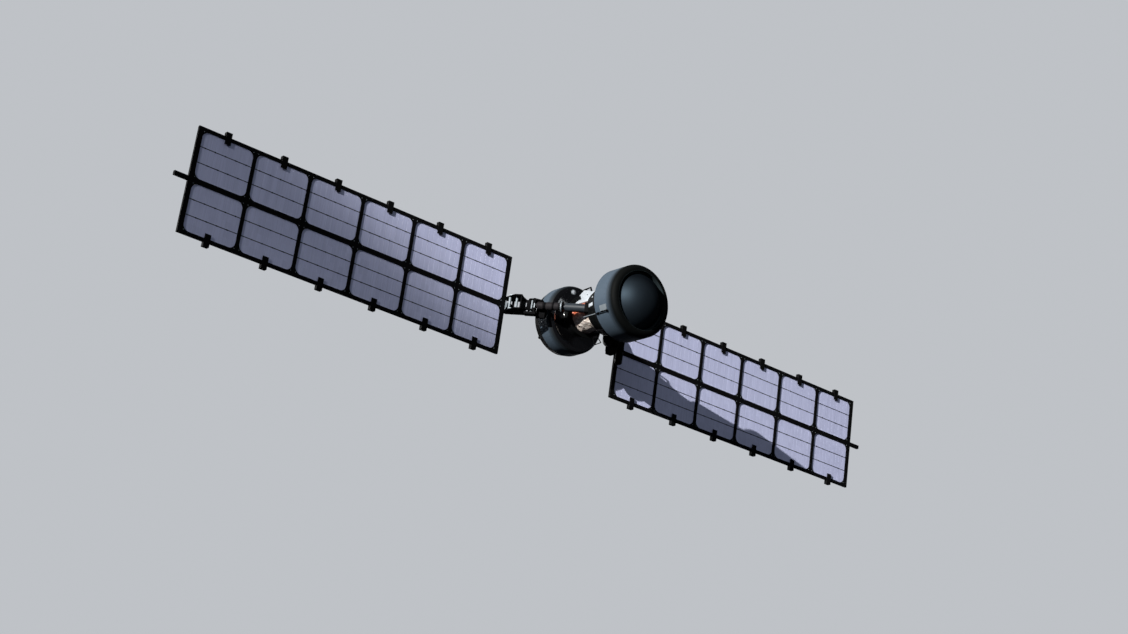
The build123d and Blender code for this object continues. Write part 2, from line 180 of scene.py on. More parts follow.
def makeSuns():
    for name, direction, strength, softness in sunLook:
        data = bpy.data.lights.new(name, "SUN")
        data.energy = strength
        data.angle = math.radians(softness)
        aimLamp(bpy.data.objects.new(name, data), direction)


def towards(tree, side, low, high, start, end):    # grows from low to high as the view turns to the side
    place = wire(tree, "ShaderNodeTexCoord").outputs["Object"]
    turned = wire(tree, "ShaderNodeVectorMath", {0: place, 1: side}, operation="DOT_PRODUCT")
    return spread(tree, turned.outputs["Value"], low, high, start, end)


def makeWorld(look):             # one background for the camera, one for gloss and glass, one for soft light
    world = bpy.data.worlds.new("studio")
    scene.world = world
    world.use_nodes = True
    tree = world.node_tree
    tree.nodes.clear()
    strength = towards(tree, look["ambientSide"], look["ambientLow"], look["ambientHigh"],
                       look["ambientFrom"], look["ambientTo"])
    share = towards(tree, look["paleSide"], 0, 1, look["paleFrom"], look["paleTo"])
    graded = mixColor(tree, share, look["dimColor"], look["backdropColor"])
    backdrop, inGloss, ambient = (
        wire(tree, "ShaderNodeBackground", {"Color": color, "Strength": power}).outputs[0]
        for color, power in ((opaque(look["backdropColor"]), 1.0), (graded, 1.0),
                             (opaque(look["ambientColor"]), strength)))
    path = wire(tree, "ShaderNodeLightPath").outputs
    gloss = mathOn(tree, "MAXIMUM", path["Is Glossy Ray"], path["Is Transmission Ray"])
    unseen = mixShader(tree, gloss, ambient, inGloss)
    shown = mixShader(tree, path["Is Camera Ray"], unseen, backdrop)
    wire(tree, "ShaderNodeOutputWorld", {"Surface": shown})


def makeFloor(look):
    bm = bmesh.new()
    bmesh.ops.create_circle(bm, cap_ends=True, segments=look["floorCorners"], radius=look["floorRadius"],
                            matrix=Matrix.Translation((0, 0, look["floorLevel"])))
    mesh = bpy.data.meshes.new("floor")
    bm.to_mesh(mesh)
    bm.free()
    floor = bpy.data.objects.new("floor", mesh)
    scene.collection.objects.link(floor)
    paint = bpy.data.materials.new("floorPaint")
    paint.use_nodes = True
    tree = paint.node_tree
    tree.nodes.clear()
    pale, bounce = (wire(tree, "ShaderNodeBsdfDiffuse", {"Color": opaque(look[color])}).outputs[0]
                    for color in ("floorColor", "bounceColor"))
    glow = {"Color": opaque(look["backdropColor"]), "Strength": 1.0}
    far = wire(tree, "ShaderNodeEmission", glow).outputs[0]
    reach = reachOn(tree, wire(tree, "ShaderNodeTexCoord").outputs["Object"], (1, 1, 0))
    limits = {"Value": reach, "From Min": look["fadeStart"], "From Max": look["fadeEnd"]}
    fade = wire(tree, "ShaderNodeMapRange", limits, interpolation_type="SMOOTHSTEP").outputs[0]
    direct = wire(tree, "ShaderNodeLightPath").outputs["Is Camera Ray"]
    shown = mixShader(tree, direct, bounce, mixShader(tree, fade, pale, far))
    wire(tree, "ShaderNodeOutputMaterial", {"Surface": shown})
    mesh.materials.append(paint)


scene.view_settings.view_transform = "Standard"
makeCamera(cameraLook)
makeWorld(stageLook)
makeFloor(stageLook)
makeKey(keyLook)
makeSuns()
print("camera, floor and lights made")


# Finishes, one for each slot of the record

shaderSockets = {                # the shader's socket for each setting of a finish, and its usual value
    "roughness": ("Roughness", 0.5),
    "metallic": ("Metallic", 0.0),
    "coat": ("Coat Weight", 0.0),
    "coatRoughness": ("Coat Roughness", 0.1),
    "specular": ("Specular IOR Level", 0.5),
    "ior": ("IOR", 1.5),
}


def startFinish(name, look):
    material = bpy.data.materials.new(name)
    material.use_nodes = True
    tree = material.node_tree
    shader = tree.nodes["Principled BSDF"]
    shader.inputs["Base Color"].default_value = opaque(look["color"])
    shader.inputs["Specular Tint"].default_value = opaque(look.get("tint", (1, 1, 1)))
    for setting, (socket, usual) in shaderSockets.items():
        shader.inputs[socket].default_value = look.get(setting, usual)
    return material, tree, shader


def placedOn(tree, stretch=(1, 1, 1)):    # the piece's own coordinates, stretched
    place = wire(tree, "ShaderNodeTexCoord").outputs["Object"]
    return wire(tree, "ShaderNodeMapping", {"Vector": place, "Scale": stretch}).outputs["Vector"]


def noiseOn(tree, place, scale, detail, roughness=0.55, distortion=0.0):
    settings = {"Scale": scale, "Detail": detail, "Roughness": roughness, "Distortion": distortion}
    return wire(tree, "ShaderNodeTexNoise", {"Vector": place, **settings}).outputs[0]


def creasesOn(tree, place, scale, soft):  # a creased sheet's height: lines between cells, and soft dents
    cells = wire(tree, "ShaderNodeTexVoronoi", {"Vector": place, "Scale": scale}, feature="DISTANCE_TO_EDGE")
    return mathOn(tree, "ADD", cells.outputs["Distance"], soft)


def roughenOn(tree, shader, value, look):  # the pattern makes it a little smoother or rougher
    smoother, rougher = look["spread"]
    rough = spread(tree, value, look["roughness"] - smoother, look["roughness"] + rougher)
    tree.links.new(rough, shader.inputs["Roughness"])


def bumpOn(tree, shader, height, look):
    inputs = {"Height": height, "Strength": look["bump"], "Distance": look["depth"]}
    tree.links.new(wire(tree, "ShaderNodeBump", inputs).outputs[0], shader.inputs["Normal"])


def fadeAlong(tree, tone, look):  # sprayed black edge: the paint fades out between two places along the body
    place = wire(tree, "ShaderNodeTexCoord").outputs["Object"]
    parts = wire(tree, "ShaderNodeSeparateXYZ", {0: place})
    share = spread(tree, parts.outputs["Y"], 1, 0, look["fadeFrom"], look["fadeTo"])
    tone = mixColor(tree, mathOn(tree, "POWER", share, look["fadeCurve"]), look["fadeColor"], tone)
    if "linerFrom" in look:      # the inner wall has its own tone
        inside = spread(tree, reachOn(tree, place, (1, 0, 1)), 1, 0, look["linerFrom"], look["linerTo"])
        tone = mixColor(tree, inside, tone, look["linerColor"])
    return tone


def paintFinish(name, look):     # satin or gloss paint with soft blotches and fine speckle
    look = {**paintLook, **look}
    material, tree, shader = startFinish(name, look)
    place = placedOn(tree, look["stretch"])
    blotch = noiseOn(tree, place, look["blotch"], detail=5)
    speckle = noiseOn(tree, place, look["grain"], detail=3)
    tone = mixColor(tree, spread(tree, blotch, 0, 1), look["shade"], look["color"])
    share = spread(tree, speckle, 0, look["speckle"], *look["speckleSpan"])
    tone = mixColor(tree, share, tone, look["shade"])
    if "fadeFrom" in look:
        tone = fadeAlong(tree, tone, look)
    tree.links.new(tone, shader.inputs["Base Color"])
    roughenOn(tree, shader, blotch, look)
    bumpOn(tree, shader, speckle, look)
    if "limbFrom" in look:       # no gloss where it is seen edge-on
        limb = wire(tree, "ShaderNodeLayerWeight", {"Blend": 0.5})
        gloss = spread(tree, limb.outputs["Facing"], look["specular"], 0.0, look["limbFrom"], look["limbTo"])
        tree.links.new(gloss, shader.inputs["Specular IOR Level"])
    return material


def wrapFinish(name, look):      # matt insulation blanket: creased, with a faint sheen on the creases
    material, tree, shader = startFinish(name, look)
    place = placedOn(tree)
    soft = noiseOn(tree, place, look["dent"], detail=6, roughness=0.6, distortion=0.4)
    tone = mixColor(tree, spread(tree, soft, 0, 1), look["color"], look["shade"])
    tree.links.new(tone, shader.inputs["Base Color"])
    roughenOn(tree, shader, soft, look)
    bumpOn(tree, shader, creasesOn(tree, place, look["crease"], soft), look)
    return material


def metalFinish(name, look):     # brushed or turned metal, with fine lines along one direction
    material, tree, shader = startFinish(name, look)
    lines = noiseOn(tree, placedOn(tree, look["brush"]), look["grain"], detail=3)
    stains = noiseOn(tree, placedOn(tree), look["blotch"], detail=5)
    tone = mixColor(tree, spread(tree, stains, 0, 1), look["color"], look["shade"])
    tone = mixColor(tree, spread(tree, lines, 0, look["lineShare"]), tone, look["shade"])
    tree.links.new(tone, shader.inputs["Base Color"])
    roughenOn(tree, shader, lines, look)
    bumpOn(tree, shader, lines, look)
    return material


def foilFinish(name, look):      # metal-backed film: orange and rust above, cream and tan below
    material, tree, shader = startFinish(name, look)
    place = placedOn(tree)
    patches = noiseOn(tree, place, look["patch"], detail=4, roughness=0.6, distortion=0.6)
    fine = noiseOn(tree, place, look["dent"], detail=5, roughness=0.65, distortion=0.8)
    warm, pale = (mixColor(tree, spread(tree, fine, 0, 1, *look["fineSpan"]), look[shade], look[color])
                  for shade, color in (("shade", "color"), ("tan", "cream")))
    parts = wire(tree, "ShaderNodeSeparateXYZ", {0: place})
    level = spread(tree, parts.outputs["Z"], 1, 0, look["creamLevel"], look["orangeLevel"])
    wander = spread(tree, patches, -look["wander"], look["wander"], *look["patchSpan"])
    tone = mixColor(tree, mathOn(tree, "ADD", level, wander, clamp=True), warm, pale)
    tree.links.new(tone, shader.inputs["Base Color"])
    roughenOn(tree, shader, fine, look)
    bumpOn(tree, shader, creasesOn(tree, place, look["crease"], fine), look)
    return material


def filmFinish(name, look):      # cell film: each strip a little lighter or darker, faint lines along it
    material, tree, shader = startFinish(name, look)
    place = placedOn(tree)
    parts = wire(tree, "ShaderNodeSeparateXYZ", {0: place}).outputs
    steps = {axis: mathOn(tree, "FLOOR", mathOn(tree, "DIVIDE", parts[axis], look[size]))
             for axis, size in (("X", "strip"), ("Z", "row"))}
    cell = wire(tree, "ShaderNodeCombineXYZ", steps)
    chance = wire(tree, "ShaderNodeTexWhiteNoise", {"Vector": cell.outputs[0]}, noise_dimensions="3D")
    tone = mixColor(tree, spread(tree, chance.outputs["Value"], 0, 1, 0, 1), look["shade"], look["color"])
    fine = noiseOn(tree, placedOn(tree, look["streak"]), look["grain"], detail=2)
    tone = mixColor(tree, spread(tree, fine, 0, look["streakShare"]), tone, look["line"])
    tree.links.new(tone, shader.inputs["Base Color"])
    roughenOn(tree, shader, noiseOn(tree, place, look["cloud"], detail=3), look)
    bumpOn(tree, shader, fine, look)
    return material


paintLook = {                    # what most paints share
    "stretch": (1, 1, 1), "speckle": 0.25, "speckleSpan": (0.55, 0.75), "depth": 0.002,
}

drumPaint = {
    "color": (0.058, 0.081, 0.107), "shade": (0.048, 0.068, 0.091), "roughness": 0.60,
    "spread": (0.05, 0.05), "blotch": 1.6, "grain": 60, "bump": 0.05, "stretch": (1, 0.35, 1),
    "specular": 0.2, "fadeColor": (0.0025, 0.003, 0.003), "fadeCurve": 1.4,
}
foreFade = {"fadeFrom": -2.585, "fadeTo": -2.800}
aftFade = {"fadeFrom": -0.385, "fadeTo": -0.560}

finishes = {
    "drum_side": paintFinish("drumSide", {**drumPaint, **foreFade}),
    "black_wrap": wrapFinish("blackWrap", {
        "color": (0.0025, 0.003, 0.003), "shade": (0.005, 0.0055, 0.006), "roughness": 0.64,
        "spread": (0.12, 0.08), "specular": 0.04, "crease": 7.0, "dent": 4.9, "bump": 0.35, "depth": 0.012}),
    "mirror_black": paintFinish("mirrorBlack", {
        "color": (0.0015, 0.0015, 0.002), "shade": (0.0025, 0.0025, 0.003), "roughness": 0.14,
        "spread": (0.03, 0.03), "blotch": 2.2, "grain": 8, "bump": 0.03, "speckle": 0.1, "ior": 3.0}),
    "bay_foil": foilFinish("bayFoil", {
        "color": (0.50, 0.115, 0.040), "shade": (0.36, 0.062, 0.026), "cream": (0.86, 0.82, 0.76),
        "tan": (0.44, 0.34, 0.28), "roughness": 0.40, "spread": (0.08, 0.10), "metallic": 0.15, "patch": 4.6,
        "patchSpan": (0.25, 0.75), "dent": 18.4, "fineSpan": (0.35, 0.65), "crease": 18.0,
        "creamLevel": -0.24, "orangeLevel": -0.10, "wander": 0.40, "bump": 0.35, "depth": 0.012}),
    "frame_black": paintFinish("frameBlack", {
        "color": (0.0028, 0.0028, 0.003), "shade": (0.0045, 0.0045, 0.005), "roughness": 0.60,
        "spread": (0.06, 0.06), "blotch": 3.0, "grain": 240, "bump": 0.08, "specular": 0.05}),
    "cell_film": filmFinish("cellFilm", {
        "color": (0.575, 0.60, 0.835), "shade": (0.52, 0.545, 0.765), "line": (0.37, 0.385, 0.54),
        "roughness": 0.38, "spread": (0.04, 0.04), "coat": 0.25, "coatRoughness": 0.25, "strip": 0.123,
        "row": 0.35, "streak": (1, 1, 0.02), "grain": 45, "streakShare": 0.35, "cloud": 1.4, "bump": 0.04,
        "depth": 0.001}),
    "pale_metal": metalFinish("paleMetal", {
        "color": (0.25, 0.28, 0.30), "shade": (0.17, 0.20, 0.22), "roughness": 0.56, "spread": (0.06, 0.06),
        "metallic": 0.35, "brush": (1, 1, 0.08), "grain": 120, "lineShare": 0.35, "blotch": 3, "bump": 0.05,
        "depth": 0.001}),
    "dark_metal": paintFinish("darkMetal", {
        "color": (0.0020, 0.0020, 0.0024), "shade": (0.0035, 0.0035, 0.004), "roughness": 0.64,
        "spread": (0.06, 0.06), "blotch": 5, "grain": 150, "bump": 0.06, "specular": 0.02}),
    "brown_metal": paintFinish("brownMetal", {
        "color": (0.022, 0.020, 0.022), "shade": (0.010, 0.009, 0.010), "roughness": 0.62,
        "spread": (0.07, 0.07), "blotch": 4, "grain": 120, "bump": 0.06, "specular": 0.08}),
    "tube_grey": paintFinish("tubeGrey", {
        "color": (0.024, 0.031, 0.038), "shade": (0.016, 0.021, 0.027), "roughness": 0.50,
        "spread": (0.05, 0.05), "blotch": 4, "grain": 90, "bump": 0.04, "specular": 0.25}),
    "white_paint": paintFinish("whitePaint", {
        "color": (0.44, 0.47, 0.50), "shade": (0.37, 0.40, 0.43), "roughness": 0.55, "spread": (0.06, 0.06),
        "blotch": 4, "grain": 90, "bump": 0.05}),
    "bell_steel": metalFinish("bellSteel", {
        "color": (0.30, 0.27, 0.25), "shade": (0.16, 0.13, 0.14), "roughness": 0.36, "spread": (0.08, 0.08),
        "metallic": 0.9, "brush": (1, 0.1, 1), "grain": 90, "lineShare": 0.35, "blotch": 5, "bump": 0.06,
        "depth": 0.001}),
}

ownFinishes = {                  # nodes whose paint differs from their slot's
    "aft_drum": paintFinish("aftDrumSide", {**drumPaint, **aftFade}),
    "fore_rim": paintFinish("foreRimEdge", {
        **drumPaint, **foreFade, "roughness": 0.64, "specular": 0.06, "linerFrom": 0.692, "linerTo": 0.696,
        "linerColor": (0.020, 0.028, 0.031)}),
    "fore_dome": paintFinish("foreDome", {
        "color": (0.0035, 0.0048, 0.0065), "shade": (0.003, 0.004, 0.0055), "roughness": 0.60,
        "spread": (0.03, 0.03), "blotch": 2.4, "grain": 40, "bump": 0.05, "stretch": (1, 1, 0.2),
        "specular": 0.42, "tint": (0.55, 0.78, 1.0), "limbFrom": 0.30, "limbTo": 0.60}),
}

for name, part in cadNodes.items():
    if not part.material_slots:
        part.data.materials.append(None)
    for place in part.material_slots:
        place.material = ownFinishes.get(name, finishes[slotOfNode[name]])
print("finishes made:", len(finishes) + len(ownFinishes))


# Tools for new pieces

sharpAngle = 0.6                 # radians; an edge that turns more than this stays sharp
mergeReach = 0.00002
boltTaper = 0.86                 # a bolt's outer end against its foot


def sharpEdges(bm):
    return [edge for edge in bm.edges if len(edge.link_faces) == 2 and edge.calc_face_angle(0) > sharpAngle]


def finishPiece(bm, name, body, slot, replaced=(), smooth=True):
    bmesh.ops.remove_doubles(bm, verts=bm.verts, dist=mergeReach)
    bmesh.ops.recalc_face_normals(bm, faces=bm.faces)
    for face in bm.faces:
        face.smooth = smooth
    for edge in sharpEdges(bm):
        edge.smooth = False
    mesh = bpy.data.meshes.new(name)
    bm.to_mesh(mesh)
    bm.free()
    mesh.materials.append(finishes[slot])
    piece = bpy.data.objects.new(name, mesh)
    scene.collection.objects.link(piece)
    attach(piece, body)
    if replaced:
        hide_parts(*replaced)


def facing(direction):           # a turn that takes +Z to the direction
    return Vector(direction).to_track_quat("Z", "Y").to_matrix().to_4x4()


def basis(place, outward, lead):     # local Z outward, local X along the lead
    outward = Vector(outward).normalized()
    lead = Vector(lead)
    lead = (lead - outward * lead.dot(outward)).normalized()
    across = outward.cross(lead)
    return Matrix.Translation(place) @ Matrix((lead, across, outward)).transposed().to_4x4()


def bevelEdges(bm, edges, offset, segments=2):
    bmesh.ops.bevel(bm, geom=edges, offset=offset, affect="EDGES", segments=segments, profile=0.5,
                    material=-1)


def cutAcross(bm, place, normal, **settings):
    bmesh.ops.bisect_plane(bm, geom=bm.verts[:] + bm.edges[:] + bm.faces[:], plane_co=place, plane_no=normal,
                           **settings)


def addBolt(bm, place, direction, radius, height, corners=6):
    direction = Vector(direction).normalized()
    middle = Vector(place) + direction * height / 2
    bmesh.ops.create_cone(bm, cap_ends=True, segments=corners, radius1=radius, radius2=radius * boltTaper,
                          depth=height, matrix=Matrix.Translation(middle) @ facing(direction))


def addBlock(bm, matrix, size, bevel=0.0, segments=2):
    made = bmesh.ops.create_cube(bm, size=1, matrix=matrix @ Matrix.Diagonal((*size, 1)))
    if bevel:
        edges = {edge for vert in made["verts"] for edge in vert.link_edges}
        bevelEdges(bm, list(edges), bevel, segments)


def addRod(bm, start, end, radius, corners=14):
    start, end = Vector(start), Vector(end)
    bmesh.ops.create_cone(bm, cap_ends=True, segments=corners, radius1=radius, radius2=radius,
                          depth=(end - start).length,
                          matrix=Matrix.Translation((start + end) / 2) @ facing(end - start))


def addPart(bm, part, matrix):
    part.transform(matrix)
    mesh = bpy.data.meshes.new("part")
    part.to_mesh(mesh)
    part.free()
    bm.from_mesh(mesh)
    bpy.data.meshes.remove(mesh)


def ringProfile(inner, outer, low, high):
    return (inner, low), (outer, low), (outer, high), (inner, high)


def addTurned(bm, matrix, profile, closed=False, steps=72):    # radius and height pairs, turned round Z
    part = bmesh.new()
    corners = [part.verts.new((radius, 0, level)) for radius, level in profile]
    pairs = list(zip(corners, corners[1:]))
    if closed:
        pairs.append((corners[-1], corners[0]))
    edges = [part.edges.new(pair) for pair in pairs]
    bmesh.ops.spin(part, geom=corners + edges, cent=(0, 0, 0), axis=(0, 0, 1), angle=math.tau, steps=steps,
                   use_merge=True)
    addPart(bm, part, matrix)


def addShell(bm, matrix, profile, angles, steps):    # the same, from one angle to another, in degrees
    part = bmesh.new()
    rings = []
    for index in range(steps + 1):
        angle = math.radians(angles[0] + (angles[1] - angles[0]) * index / steps)
        cosine, sine = math.cos(angle), math.sin(angle)
        rings.append([part.verts.new((radius * cosine, radius * sine, height)) for radius, height in profile])
    for ring, after in zip(rings, rings[1:]):
        for index in range(len(profile)):
            part.faces.new((ring[index], ring[index - 1], after[index - 1], after[index]))
    part.faces.new(rings[0])
    part.faces.new(rings[-1])
    addPart(bm, part, matrix)


seatTrees = {}
castFrom = 2.0                   # outside the drums


def seatOn(node, start, direction):  # where a line from the start meets the node, and its outward side
    if node not in seatTrees:
        part = cadNodes[node]
        corners = [part.matrix_world @ vert.co for vert in part.data.vertices]
        seatTrees[node] = BVHTree.FromPolygons(corners, [face.vertices[:] for face in part.data.polygons])
    direction = Vector(direction).normalized()
    place, normal = seatTrees[node].ray_cast(Vector(start), direction)[:2]
    return place, -normal if normal.dot(direction) > 0 else normal


def radial(angle, radius, y):        # a place round the body's axis, from the right and up, in degrees
    angle = math.radians(angle)
    return Vector((radius * math.cos(angle), y, radius * math.sin(angle)))


def seatRound(node, angle, y):       # seats from outside the drums, straight towards the axis
    return seatOn(node, radial(angle, castFrom, y), radial(angle, -1.0, 0))


# The body's own axis as local Z (pointing to the front), local X to the right and local Y up
bodyTurn = Matrix(((1, 0, 0, 0), (0, 0, -1, 0), (0, 1, 0, 0), (0, 0, 0, 1)))


# Wing film: a rounded plate in each window, cut into strips with fine grooves, and dark tapes across

wingLook = {
    "columns": 6,
    "spine": 0.112,
    "rail": 0.078,
    "rib": 0.084,
    "end": 0.112,
    "gusset": 0.150,
    "edgeGap": 0.0005,
    "gussetSteps": 6,
    "strips": 10,
    "rows": 3,
    "groove": 0.0035,
    "grooveDepth": 0.002,
    "tapeWidth": 0.018,
    "tapeProud": 0.0015,
    "tapeShort": 0.004,
    "dotRadius": 0.018,
    "dotProud": 0.004,
    "dotCorners": 8,
    "boltInset": 0.018,
    "boltRadius": 0.011,
    "boltHeight": 0.006,
}


def wingWindows(side, sign):     # centre, width and height of each window between the ribs, spine and rails
    look = wingLook
    low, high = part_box(side + "_wing_frame")
    pitch = (high.x - low.x) / look["columns"]
    inner = low.x if sign > 0 else high.x
    middle = (low.z + high.z) / 2
    height = (high.z - low.z) / 2 - look["rail"] - look["spine"] / 2
    for column in range(look["columns"]):
        near = look["end"] if column == 0 else look["rib"] / 2
        far = look["end"] if column == look["columns"] - 1 else look["rib"] / 2
        start = column * pitch + near
        end = (column + 1) * pitch - far
        for row in (-1, 1):
            level = middle + row * (look["spine"] + height) / 2
            yield Vector((inner + sign * (start + end) / 2, 0, level)), end - start, height


def addFilmFace(bm, centre, width, height, thickness, way):    # one face of the film, with half its edge
    look = wingLook
    wide = width - 2 * look["edgeGap"]
    tall = height - 2 * look["edgeGap"]
    depth = way * (thickness / 2 - look["grooveDepth"])
    part = bmesh.new()
    corners = ((-1, -1), (1, -1), (1, 1), (-1, 1))
    part.faces.new([part.verts.new((x * wide / 2, depth, z * tall / 2)) for x, z in corners])
    bmesh.ops.bevel(part, geom=part.verts[:], offset=look["gusset"] - look["edgeGap"], affect="VERTICES",
                    segments=look["gussetSteps"], profile=0.5, material=-1)
    bmesh.ops.recalc_face_normals(part, faces=part.faces)
    if part.faces[:][0].normal.y * way < 0:
        bmesh.ops.reverse_faces(part, faces=part.faces)
    for index in range(1, look["strips"]):
        cutAcross(part, (-wide / 2 + index * wide / look["strips"], 0, 0), (1, 0, 0))
    for index in range(1, look["rows"]):
        cutAcross(part, (0, 0, -tall / 2 + index * tall / look["rows"]), (0, 0, 1))
    rim = [edge for edge in part.edges if edge.is_boundary]
    made = bmesh.ops.extrude_edge_only(part, edges=rim)
    skirt = [item for item in made["geom"] if isinstance(item, bmesh.types.BMVert)]
    bmesh.ops.translate(part, verts=skirt, vec=(0, -depth, 0))
    tiles = [face for face in part.faces if abs(face.normal.y) > 0.5]
    bmesh.ops.inset_individual(part, faces=tiles, thickness=look["groove"] / 2, depth=look["grooveDepth"],
                               use_even_offset=True)
    addPart(bm, part, Matrix.Translation(centre))


def makeFilm(side, sign):
    low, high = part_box(side + "_wing_panels")
    bm = bmesh.new()
    for centre, width, height in wingWindows(side, sign):
        for way in (-1, 1):
            addFilmFace(bm, centre, width, height, high.y - low.y, way)
    finishPiece(bm, side + "Film", side + "_wing", "cell_film", [side + "_wing_panels"], smooth=False)


def makeTapes(side, sign):       # dark tapes across the strips, with small dots where strips meet
    look = wingLook
    low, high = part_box(side + "_wing_panels")
    face = (high.y - low.y) / 2
    proud = look["tapeProud"]
    dot = (look["dotRadius"], look["dotProud"], look["dotCorners"])
    bm = bmesh.new()
    for centre, width, height in wingWindows(side, sign):
        for index, way in product(range(1, look["rows"]), (-1, 1)):
            level = centre.z - height / 2 + index * height / look["rows"]
            matrix = Matrix.Translation((centre.x, way * (face + proud / 2), level))
            addBlock(bm, matrix, (width - look["tapeShort"], proud, look["tapeWidth"]))
            for strip in range(1, look["strips"]):
                if (strip + index) % 2:
                    across = centre.x - width / 2 + strip * width / look["strips"]
                    addBolt(bm, (across, way * face, level), (0, way, 0), *dot)
    finishPiece(bm, side + "Tapes", side + "_wing", "dark_metal", smooth=False)


def makeFrameBolts(side, sign):  # bolts at the corners of each window, on both faces
    look = wingLook
    low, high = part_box(side + "_wing_frame")
    face = (high.y - low.y) / 2
    bm = bmesh.new()
    for centre, width, height in wingWindows(side, sign):
        for cornerX, cornerZ, way in product((-1, 1), repeat=3):
            across = centre.x + cornerX * (width / 2 - look["boltInset"])
            level = centre.z + cornerZ * (height / 2 - look["boltInset"])
            addBolt(bm, (across, way * face, level), (0, way, 0), look["boltRadius"], look["boltHeight"])
    finishPiece(bm, side + "FrameBolts", side + "_wing", "pale_metal", smooth=False)


for side, sign in sides:
    makeFilm(side, sign)
    makeTapes(side, sign)
    makeFrameBolts(side, sign)
print("wings dressed")


# Foil round the bay: a crumpled shell with sharp creases

foilLook = {
    "around": 150,
    "along": 46,
    "inset": 0.012,
    "crumple": 0.034,
    "smoothEdge": 0.03,                      # the ends stay round over this length
    "scales": ((3.4, 1.0), (7.5, 0.55), (17.0, 0.28)),
    "seed": (4.2, 1.7, 8.3),
}


def crumple(point):
    return sum(share * abs(noise.noise(point * scale + Vector(foilLook["seed"]) * scale))
               for scale, share in foilLook["scales"])


def makeFoil():
    look = foilLook
    low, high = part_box("foil_bay")
    length = high.y - low.y
    middle = Matrix.Translation((0, (low.y + high.y) / 2, 0))
    bm = bmesh.new()
    bmesh.ops.create_cone(bm, cap_ends=False, segments=look["around"], radius1=high.x, radius2=high.x,
                          depth=length, matrix=middle @ facing((0, 1, 0)))
    long = [edge for edge in bm.edges if abs(edge.verts[0].co.y - edge.verts[1].co.y) > length / 2]
    bmesh.ops.subdivide_edges(bm, edges=long, cuts=look["along"])
    for vert in bm.verts:
        outward = Vector((vert.co.x, 0, vert.co.z)).normalized()
        fromEnd = min(high.y - vert.co.y, vert.co.y - low.y) / look["smoothEdge"]
        depth = crumple(vert.co) * look["crumple"] * min(1.0, fromEnd)
        vert.co -= outward * (depth + look["inset"])
    bmesh.ops.triangulate(bm, faces=bm.faces)
    finishPiece(bm, "bayFoil", "hull", "bay_foil", ["foil_bay"], smooth=False)


makeFoil()
print("foil made")


# Arms: flange with its pale ring, dark rings of painted shade between the barrels, hinge trims, and a yoke of
# dark plates with pale rails as painted highlight on their edges, and posts

armLook = {
    "root": (0.391, -1.577, -0.07),
    "along": (0.6393, 0.7690),
    "proud": 0.0005,                         # how far a pale ring or strip stands out of what carries it
}

flangeLook = {                               # places are measured along the arm
    "from": 0.660,
    "to": 0.733,
    "radius": 0.132,
    "chamfer": 0.006,
    "ring": (0.680, 0.706),
    "ringDepth": 0.004,
    "gapShades": ((0.7335, 0.7475), (0.8735, 0.8995), (1.0645, 1.1145)),    # dark rings in the gaps between the barrels, as painted shade
    "gapShadeRadii": (0.040, 0.089),
    "gapShadeSteps": 48,
    "bolts": 8,
    "boltCircle": 0.113,
    "boltRadius": 0.009,
    "boltHeight": 0.008,
}

hingeLook = {
    "pinPlace": 1.400,
    "stripRadius": 0.055,
    "stripDepth": 0.003,
    "stripHalf": 0.104,                      # half its height
    "stripAngles": (217.4, 249.4),           # on the left arm, in degrees; mirrored on the right one
    "stripSteps": 6,
    "tabPlace": (1.322, 0.085, -0.03),
    "tabSize": (0.018, 0.002, 0.110),
    "tabBevel": 0.0004,
}

yokeLook = {
    "from": 1.600,
    "to": 2.300,
    "half": 0.220,
    "side": 1.690,                           # the plates end here, from the middle of the body
    "back": 0.140,
    "plates": ((0.147, 0.175), (-0.175, -0.147)),
    "endPlate": 0.028,
    "postRadius": 0.030,
    "postCorners": 28,
    "frontPosts": ((1.749, 0.066), (1.921, 0.040)),
    "rearPosts": ((1.700, -0.150), (1.900, -0.200)),
    "boltRadius": 0.016,
    "boltHeight": 0.007,
    # pale rails near the plates' front edges; their paleness is painted highlight of the lit edges
    "rail": {"from": 1.735, "to": 1.925, "outward": 0.100, "width": 0.016, "height": 0.026, "sunk": 0.001,
             "bevel": 0.002},
}


def armTurn(sign):               # local X along the arm, local Y towards its front side, local Z up
    root, along = armLook["root"], armLook["along"]
    rows = ((sign * along[0], sign * along[1], 0, sign * root[0]), (along[1], -along[0], 0, root[1]),
            (0, 0, 1, root[2]), (0, 0, 0, 1))
    return Matrix(rows)


def makeFlange(side, sign):
    look = flangeLook
    start, end, radius, chamfer = (look[name] for name in ("from", "to", "radius", "chamfer"))
    turn = armTurn(sign)
    axis = turn @ basis((0, 0, 0), (1, 0, 0), (0, 1, 0))
    bm = bmesh.new()
    addTurned(bm, axis, ((0, start), (radius - chamfer, start), (radius, start + chamfer),
                         (radius, end - chamfer), (radius - chamfer, end), (0, end)))
    finishPiece(bm, side + "Flange", "hull", "dark_metal", [side + "_arm_flange"])
    bm = bmesh.new()
    ring = ringProfile(radius - look["ringDepth"], radius + armLook["proud"], *look["ring"])
    addTurned(bm, axis, ring, closed=True)
    finishPiece(bm, side + "FlangeRing", "hull", "pale_metal")
    bm = bmesh.new()
    # dark rings in the gaps between the barrels: painted shade
    for shadeRing in look["gapShades"]:
        addTurned(bm, axis, ringProfile(*look["gapShadeRadii"], *shadeRing), closed=True, steps=look["gapShadeSteps"])
    finishPiece(bm, side + "BarrelGapShade", "hull", "dark_metal")
    bm = bmesh.new()
    for index in range(look["bolts"]):
        angle = math.tau * (index + 0.5) / look["bolts"]
        across, level = look["boltCircle"] * math.cos(angle), look["boltCircle"] * math.sin(angle)
        for along, way in ((end, 1), (start, -1)):
            place = turn @ Vector((along, across, level))
            outward = turn.to_3x3() @ Vector((way, 0, 0))
            addBolt(bm, place, outward, look["boltRadius"], look["boltHeight"])
    finishPiece(bm, side + "FlangeBolts", "hull", "brown_metal", smooth=False)


